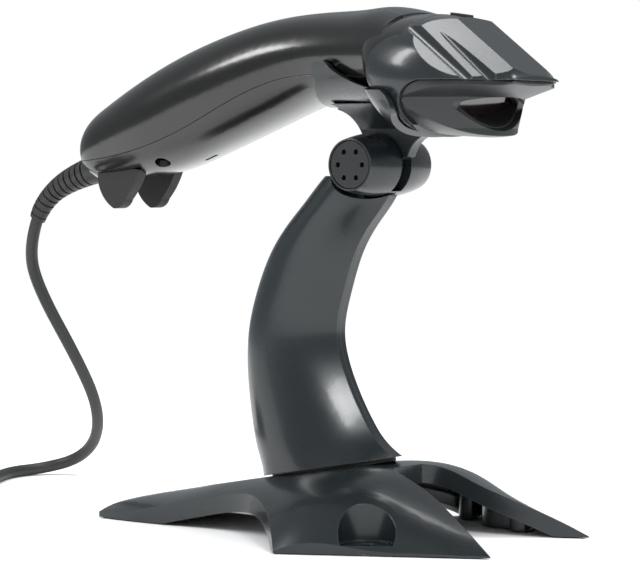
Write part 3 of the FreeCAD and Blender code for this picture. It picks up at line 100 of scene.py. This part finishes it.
# The room: an even bright light, plain white where the camera looks past the table, and a
# dimmer blue-white where glossy surfaces mirror it.
world = bpy.data.worlds.new("room")
world.use_nodes = True
room = world.node_tree
room_light = room.nodes["Background"]
set_inputs(room_light, {"Color": (0.97, 0.985, 1.0, 1), "Strength": 0.9})
room_seen = room.nodes.new("ShaderNodeBackground")
set_inputs(room_seen, {"Color": (1.0, 1.0, 1.0, 1), "Strength": 1.0})
room_gloss = room.nodes.new("ShaderNodeBackground")
set_inputs(room_gloss, {"Color": (0.9, 0.96, 1.0, 1), "Strength": 0.36})
room_ray = room.nodes.new("ShaderNodeLightPath")


def room_choice(ray, otherwise, when_so):
    """One of two room lights, chosen by the kind of ray that reaches the room."""
    choice = room.nodes.new("ShaderNodeMixShader")
    room.links.new(room_ray.outputs[ray], choice.inputs["Fac"])
    room.links.new(otherwise, choice.inputs[1])
    room.links.new(when_so, choice.inputs[2])
    return choice.outputs["Shader"]


lit_or_mirrored = room_choice(
    "Is Glossy Ray", room_light.outputs["Background"], room_gloss.outputs["Background"])
room_out = room_choice("Is Camera Ray", lit_or_mirrored, room_seen.outputs["Background"])
room.links.new(room_out, room.nodes["World Output"].inputs["Surface"])
bpy.context.scene.world = world


# The lamps: three large soft panels, as a product table has.
def soft_panel(name, place, target, width, height, power):
    """A rectangular soft lamp at a place, aimed at a target."""
    panel = bpy.data.lights.new(name, "AREA")
    panel.shape = "RECTANGLE"
    panel.size = width
    panel.size_y = height
    panel.energy = power
    lamp = link(name, panel)
    lamp.location = place
    lamp.rotation_euler = (Vector(target) - Vector(place)).to_track_quat("-Z", "Y").to_euler()


soft_panel("key_panel", (-0.75, -0.75, 0.95), (0, 0, 0.1), 0.22, 0.9, 9)
soft_panel("front_panel", (1.0, -0.6, 0.9), (0.03, 0, 0.1), 0.3, 0.3, 7)
soft_panel("top_panel", (0.1, 0.35, 1.4), (0, 0, 0.1), 0.8, 0.5, 9)


# The cable: a round limp lead with a matt jacket. It drops from the strain relief, lies on
# the table behind the stand, and the spare length is wound into a tied coil. Its upper and
# lower pieces meet at cable_meeting.
cable_radius = 0.0021
curve_steps = 10
tube_resolution = 5


def nurbs_route(name, points):
    """An open smooth curve with these control points."""
    route = bpy.data.curves.new(name, "CURVE")
    route.dimensions = "3D"
    route.resolution_u = curve_steps
    spline = route.splines.new("NURBS")
    spline.points.add(len(points) - 1)
    for control, point in zip(spline.points, points):
        control.co = (*point, 1)
    spline.order_u = 3
    spline.use_endpoint_u = True
    return route


def tube_along(name, route, radius):
    """A closed mesh tube on a route, and the points of the route's own line."""
    line_object = bpy.data.objects.new(name + "_line", route)
    line_mesh = bpy.data.meshes.new_from_object(line_object)
    line = [v.co.copy() for v in line_mesh.vertices]
    route.bevel_depth = radius
    route.bevel_resolution = tube_resolution
    route.use_fill_caps = True
    tube_mesh = bpy.data.meshes.new_from_object(line_object)
    bpy.data.objects.remove(line_object)
    for face in tube_mesh.polygons:
        face.use_smooth = True
    tube_mesh.materials.clear()
    return link(name, tube_mesh), line


cable_meeting = (-0.1244, 0.0192, 0.0590)
drop_points = [
    (-0.1169, 0.0002, 0.0976),
    (-0.1221, 0.0014, 0.0880),
    (-0.1235, 0.0066, 0.0740),
    cable_meeting,
]
run_points = [
    cable_meeting,
    (-0.1255, 0.0346, 0.0406),
    (-0.1325, 0.0494, 0.0254),
    (-0.1445, 0.0610, 0.0134),
    (-0.1579, 0.0654, 0.0056),
    (-0.1689, 0.0586, 0.0023),
    (-0.1715, 0.0444, 0.0021),
    (-0.1643, 0.0290, 0.0021),
    (-0.1545, 0.0134, 0.0021),
    (-0.1487, -0.0036, 0.0021),
]

# The coil: eight turns in three layers, each given by its radius and its height. Late in a
# turn the cable crosses over to the next one, and the last turn runs out and down to the tail.
coil_middle = Vector((-0.1753, -0.0270, 0))
inner, middle, outer = 0.0194, 0.0236, 0.0278
low, raised, high = 0.0021, 0.0063, 0.0105
coil_turns = [
    (outer, low), (middle, low), (inner, low),
    (inner, raised), (middle, raised), (outer, raised),
    (middle, high), (outer, high),
]
last_turn = len(coil_turns) - 1
points_per_turn = 16
crossing_step = 11
coil_start = math.radians(8.0)
run_out = 0.0011
run_down = 0.0013
curve_shrink = 0.981
turn_wander = 0.0003

coil_points = []
for turn, (turn_radius, turn_height) in enumerate(coil_turns):
    next_radius, next_height = coil_turns[min(turn + 1, last_turn)]
    for step in range(points_per_turn):
        angle = coil_start - 2 * math.pi * step / points_per_turn
        share = max(0.0, (step - crossing_step) / (points_per_turn - crossing_step))
        ring = turn_radius + (next_radius - turn_radius) * share
        height = turn_height + (next_height - turn_height) * share
        if turn == last_turn and step > crossing_step:
            ring += run_out * (step - crossing_step)
            height -= run_down * (step - crossing_step)
        # The smooth curve cuts inside its control points, so they lie a little further out.
        ring = ring / curve_shrink + turn_wander * math.sin(2.3 * turn + 1.7 * step)
        coil_points.append((
            coil_middle.x + ring * math.cos(angle),
            coil_middle.y + ring * math.sin(angle),
            height,
        ))
tail_points = [
    (coil_middle.x + across, coil_middle.y + along, height)
    for across, along, height in (
        (0.0336, 0.0010, 0.0032),
        (0.0334, -0.0090, 0.0021),
        (0.0308, -0.0190, 0.0021),
        (0.0244, -0.0288, 0.0022),
        (0.0140, -0.0350, 0.0030),
        (0.0020, -0.0372, 0.0042),
    )
]
drop_route = nurbs_route("drop_route", drop_points)
run_route = nurbs_route("run_route", run_points + coil_points + tail_points)
cable_drop, drop_line = tube_along("cable_drop", drop_route, cable_radius)
cable_run, run_line = tube_along("cable_run", run_route, cable_radius)

# The finish of moulded surfaces: a fine grain from the mould, a slow drift in gloss, and
# rounded edges rubbed paler. Every piece below takes it with its own values.
cloud_scale = 38.0
edge_begins, edge_is_full = 0.995, 0.86     # cosine between the flat and the rounded normal
moulded_grain = bpy.data.node_groups.new("moulded_grain", "ShaderNodeTree")
moulded_grain.interface.new_socket("Grain Size", in_out="INPUT", socket_type="NodeSocketFloat")
moulded_grain.interface.new_socket("Height", in_out="OUTPUT", socket_type="NodeSocketFloat")
moulded_grain.interface.new_socket("Mottle", in_out="OUTPUT", socket_type="NodeSocketFloat")
grain_in = moulded_grain.nodes.new("NodeGroupInput")
grain_out = moulded_grain.nodes.new("NodeGroupOutput")
grain_place = moulded_grain.nodes.new("ShaderNodeTexCoord")
grain_fine = moulded_grain.nodes.new("ShaderNodeTexNoise")
set_inputs(grain_fine, {"Detail": 3.0})
grain_cloud = moulded_grain.nodes.new("ShaderNodeTexNoise")
set_inputs(grain_cloud, {"Scale": cloud_scale, "Detail": 4.0})
moulded_grain.links.new(grain_place.outputs["Object"], grain_fine.inputs["Vector"])
moulded_grain.links.new(grain_place.outputs["Object"], grain_cloud.inputs["Vector"])
moulded_grain.links.new(grain_in.outputs["Grain Size"], grain_fine.inputs["Scale"])
moulded_grain.links.new(grain_fine.outputs["Fac"], grain_out.inputs["Height"])
moulded_grain.links.new(grain_cloud.outputs["Fac"], grain_out.inputs["Mottle"])

edge_wear = bpy.data.node_groups.new("edge_wear", "ShaderNodeTree")
edge_wear.interface.new_socket("Edge Width", in_out="INPUT", socket_type="NodeSocketFloat")
edge_wear.interface.new_socket("Mask", in_out="OUTPUT", socket_type="NodeSocketFloat")
edge_wear.interface.new_socket("Normal", in_out="OUTPUT", socket_type="NodeSocketVector")
wear_in = edge_wear.nodes.new("NodeGroupInput")
wear_out = edge_wear.nodes.new("NodeGroupOutput")
wear_round = edge_wear.nodes.new("ShaderNodeBevel")
wear_round.samples = 4
wear_true = edge_wear.nodes.new("ShaderNodeNewGeometry")
wear_dot = edge_wear.nodes.new("ShaderNodeVectorMath")
wear_dot.operation = "DOT_PRODUCT"
wear_range = edge_wear.nodes.new("ShaderNodeMapRange")
set_inputs(wear_range, {"From Min": edge_begins, "From Max": edge_is_full})
edge_wear.links.new(wear_in.outputs["Edge Width"], wear_round.inputs["Radius"])
edge_wear.links.new(wear_round.outputs["Normal"], wear_dot.inputs[0])
edge_wear.links.new(wear_true.outputs["Normal"], wear_dot.inputs[1])
edge_wear.links.new(wear_dot.outputs["Value"], wear_range.inputs["Value"])
edge_wear.links.new(wear_range.outputs["Result"], wear_out.inputs["Mask"])
edge_wear.links.new(wear_round.outputs["Normal"], wear_out.inputs["Normal"])

coat_roughness = 0.12
bump_strength = 0.6
cloud_from, cloud_to = 0.3, 0.7         # the cloud noise counts between these values
glossier, duller = 0.86, 1.16           # and moves the roughness between these shares
cloud_darkening = 0.78                  # and the colour down to this share


def finish_material(name, colour, worn, roughness, grain_size, grain_depth,
                    edge_width=0.0004, metallic=0.0, coat=0.0):
    """A moulded or metal finish: fine grain, slow roughness drift and lighter rounded edges."""
    material = bpy.data.materials.new(name)
    material.use_nodes = True
    tree = material.node_tree
    shader = tree.nodes["Principled BSDF"]
    set_inputs(shader, {
        "Metallic": metallic,
        "Coat Weight": coat,
        "Coat Roughness": coat_roughness,
    })
    grain = tree.nodes.new("ShaderNodeGroup")
    grain.node_tree = moulded_grain
    set_inputs(grain, {"Grain Size": grain_size})
    wear = tree.nodes.new("ShaderNodeGroup")
    wear.node_tree = edge_wear
    set_inputs(wear, {"Edge Width": edge_width})
    drift = tree.nodes.new("ShaderNodeMapRange")
    set_inputs(drift, {
        "From Min": cloud_from,
        "From Max": cloud_to,
        "To Min": roughness * glossier,
        "To Max": roughness * duller,
    })
    tint = tree.nodes.new("ShaderNodeMix")
    tint.data_type = "RGBA"
    set_inputs(tint, {
        "A": (*colour, 1),
        "B": (*(cloud_darkening * part for part in colour), 1),
    })
    edge_tint = tree.nodes.new("ShaderNodeMix")
    edge_tint.data_type = "RGBA"
    set_inputs(edge_tint, {"B": (*worn, 1)})
    bump = tree.nodes.new("ShaderNodeBump")
    set_inputs(bump, {"Strength": bump_strength, "Distance": grain_depth})
    link_nodes = tree.links.new
    link_nodes(grain.outputs["Mottle"], drift.inputs["Value"])
    link_nodes(drift.outputs["Result"], shader.inputs["Roughness"])
    link_nodes(grain.outputs["Mottle"], tint.inputs["Factor"])
    link_nodes(tint.outputs["Result"], edge_tint.inputs["A"])
    link_nodes(wear.outputs["Mask"], edge_tint.inputs["Factor"])
    link_nodes(edge_tint.outputs["Result"], shader.inputs["Base Color"])
    link_nodes(grain.outputs["Height"], bump.inputs["Height"])
    link_nodes(wear.outputs["Normal"], bump.inputs["Normal"])
    link_nodes(bump.outputs["Normal"], shader.inputs["Normal"])
    return material


def wear_on(material, *names):
    """Give CAD nodes a material."""
    for name in names:
        mesh = nodes[name].data
        mesh.materials.clear()
        mesh.materials.append(material)


jacket = finish_material(
    "cable_jacket", (0.022, 0.023, 0.023), (0.05, 0.05, 0.05),
    roughness=0.5, grain_size=2600, grain_depth=0.00006)
cable_drop.data.materials.append(jacket)
cable_run.data.materials.append(jacket)
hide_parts("cable_upper")
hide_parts("cable_lower", "cable_coil", "cable_tail")
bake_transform(cable_drop)
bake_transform(cable_run)

# The strain relief and the plug's grip: soft black rubber moulded straight onto the cable,
# with a fine matt skin and slightly paler rib edges.
boot_rubber = finish_material(
    "boot_rubber", (0.02, 0.02, 0.02), (0.05, 0.05, 0.05),
    roughness=0.46, grain_size=2200, grain_depth=0.00005)
wear_on(boot_rubber, "strain_relief", "usb_overmould")

# The plug: a folded nickel-plated steel shell round a white tongue, held in the rubber grip.
plug_steel = finish_material(
    "plug_steel", (0.62, 0.61, 0.6), (0.8, 0.8, 0.8),
    roughness=0.24, grain_size=900, grain_depth=0.00001, metallic=1.0)
wear_on(plug_steel, "usb_shell")
tongue_plastic = finish_material(
    "tongue_plastic", (0.75, 0.75, 0.72), (0.8, 0.8, 0.8),
    roughness=0.4, grain_size=1500, grain_depth=0.00002)
wear_on(tongue_plastic, "usb_tongue")

# The coil's strap: a black nylon band pulled round the spare turns.
tie_nylon = finish_material(
    "tie_nylon", (0.012, 0.012, 0.012), (0.04, 0.04, 0.04),
    roughness=0.5, grain_size=1800, grain_depth=0.00004)
wear_on(tie_nylon, "coil_tie")

# The stand and the cradle: blue-grey moulded plastic with a very fine spark-eroded texture,
# a slight sheen, and edges that are polished paler by handling.
stand_plastic = finish_material(
    "stand_plastic", (0.017, 0.0222, 0.0245), (0.05, 0.06, 0.065),
    roughness=0.27, grain_size=3200, grain_depth=0.00002,
    edge_width=0.0005, metallic=0.25, coat=0.3)
wear_on(
    stand_plastic, "base_shell", "neck_left_shell", "neck_right_shell", "barrel_left",
    "barrel_right", "cradle")

# The knuckle's end caps: small press-in discs of a duller dark plastic.
cap_plastic = finish_material(
    "cap_plastic", (0.018, 0.02, 0.022), (0.05, 0.055, 0.06),
    roughness=0.38, grain_size=3000, grain_depth=0.00002)
wear_on(cap_plastic, "pivot_cap_left", "pivot_cap_right")

# The handle: two nearly black shells with a smooth glossy skin.
handle_plastic = finish_material(
    "handle_plastic", (0.0042, 0.0039, 0.0033), (0.02, 0.02, 0.018),
    roughness=0.2, grain_size=3400, grain_depth=0.00001, coat=0.5)
wear_on(handle_plastic, "handle_upper", "handle_lower")

# The hood and the long top button: a paler blue-grey moulding with flat facets and flutes.
head_plastic = finish_material(
    "head_plastic", (0.021, 0.0262, 0.0288), (0.07, 0.08, 0.085),
    roughness=0.26, grain_size=3200, grain_depth=0.000018,
    edge_width=0.0005, metallic=0.2, coat=0.3)
wear_on(head_plastic, "head_cover", "scan_button")

# The bezel: the duller lower face of the head, with the dark window deep in its mouth.
bezel_plastic = finish_material(
    "bezel_plastic", (0.016, 0.019, 0.02), (0.045, 0.05, 0.053),
    roughness=0.36, grain_size=2800, grain_depth=0.00002)
wear_on(bezel_plastic, "head_bezel")
window_plastic = finish_material(
    "window_plastic", (0.010, 0.004, 0.004), (0.03, 0.02, 0.02),
    roughness=0.06, grain_size=800, grain_depth=0.000002, coat=1.0)
wear_on(window_plastic, "scan_window")
lens_plastic = finish_material(
    "lens_plastic", (0.02, 0.02, 0.02), (0.05, 0.05, 0.05),
    roughness=0.18, grain_size=1500, grain_depth=0.00004)
wear_on(lens_plastic, "status_lens")

# Soft parts: the feet, the window's gasket and the two rest fins under the butt.
rubber = finish_material(
    "soft_rubber", (0.012, 0.012, 0.012), (0.03, 0.03, 0.03),
    roughness=0.6, grain_size=2000, grain_depth=0.00006)
wear_on(rubber, "rubber_feet", "window_gasket", "rest_fins")

# Hidden metal parts: the zinc-plated weight, screws, bolt and nut, and the nickelled magnet.
screw_steel = finish_material(
    "screw_steel", (0.5, 0.5, 0.52), (0.75, 0.75, 0.75),
    roughness=0.3, grain_size=1400, grain_depth=0.00001, metallic=1.0)
wear_on(
    screw_steel, "base_weight", "base_screws", "pivot_bolt", "pivot_nut", "cradle_magnet",
    "shell_screws")

# Hidden plastic parts: natural nylon washers and plunger, black cases and jacks, a clear plug.
nylon = finish_material(
    "nylon", (0.7, 0.68, 0.62), (0.8, 0.8, 0.75),
    roughness=0.45, grain_size=1500, grain_depth=0.00002)
wear_on(nylon, "friction_washers", "switch_plunger")
black_moulding = finish_material(
    "black_moulding", (0.015, 0.015, 0.015), (0.05, 0.05, 0.05),
    roughness=0.45, grain_size=2500, grain_depth=0.00003)
wear_on(
    black_moulding, "switch_housing", "board_chips", "beeper", "cable_jack",
    "engine_chassis", "light_sensor")
clear_plug = finish_material(
    "clear_plug", (0.6, 0.6, 0.58), (0.7, 0.7, 0.7),
    roughness=0.2, grain_size=1200, grain_depth=0.00001)
wear_on(clear_plug, "cable_inner_plug")

# The circuit boards and the laser's parts: green lacquered boards, a brass laser barrel, a
# copper winding and a silvered mirror.
board_laminate = finish_material(
    "board_laminate", (0.015, 0.12, 0.05), (0.4, 0.35, 0.2),
    roughness=0.35, grain_size=1800, grain_depth=0.00002)
wear_on(board_laminate, "main_board", "engine_board")
brass = finish_material(
    "brass_and_copper", (0.6, 0.42, 0.18), (0.8, 0.65, 0.35),
    roughness=0.3, grain_size=1200, grain_depth=0.00001, metallic=1.0)
wear_on(brass, "laser_diode", "mirror_drive_coil")
mirror_silver = finish_material(
    "mirror_silver", (0.85, 0.85, 0.86), (0.9, 0.9, 0.9),
    roughness=0.04, grain_size=800, grain_depth=0.000001, metallic=1.0)
wear_on(mirror_silver, "scan_mirror")

# The seal at the neck's foot: a thin soft oval washer that closes the joint over the base.
seal_half_length = 0.0225
seal_half_width = 0.0142
seal_thickness = 0.0018
seal_lean = math.radians(-10.2)
seal_place = (0.0106, 0, 0.0190)

seal_shape = bmesh.new()
bmesh.ops.create_circle(seal_shape, cap_ends=True, segments=64, radius=1.0)
bmesh.ops.scale(seal_shape, vec=(seal_half_length, seal_half_width, 1), verts=seal_shape.verts)
seal_sides = bmesh.ops.extrude_face_region(seal_shape, geom=seal_shape.faces[:])
seal_top = [item for item in seal_sides["geom"] if isinstance(item, bmesh.types.BMVert)]
bmesh.ops.translate(seal_shape, vec=(0, 0, seal_thickness), verts=seal_top)
bmesh.ops.rotate(seal_shape, cent=(0, 0, 0), matrix=Matrix.Rotation(seal_lean, 3, "Y"),
                 verts=seal_shape.verts)
bmesh.ops.translate(seal_shape, vec=seal_place, verts=seal_shape.verts)
bmesh.ops.recalc_face_normals(seal_shape, faces=seal_shape.faces)
seal_mesh = bpy.data.meshes.new("neck_foot_seal")
seal_shape.to_mesh(seal_mesh)
seal_shape.free()
neck_foot_seal = link("neck_foot_seal", seal_mesh)
neck_foot_seal.data.materials.append(rubber)
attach(neck_foot_seal, "stand")
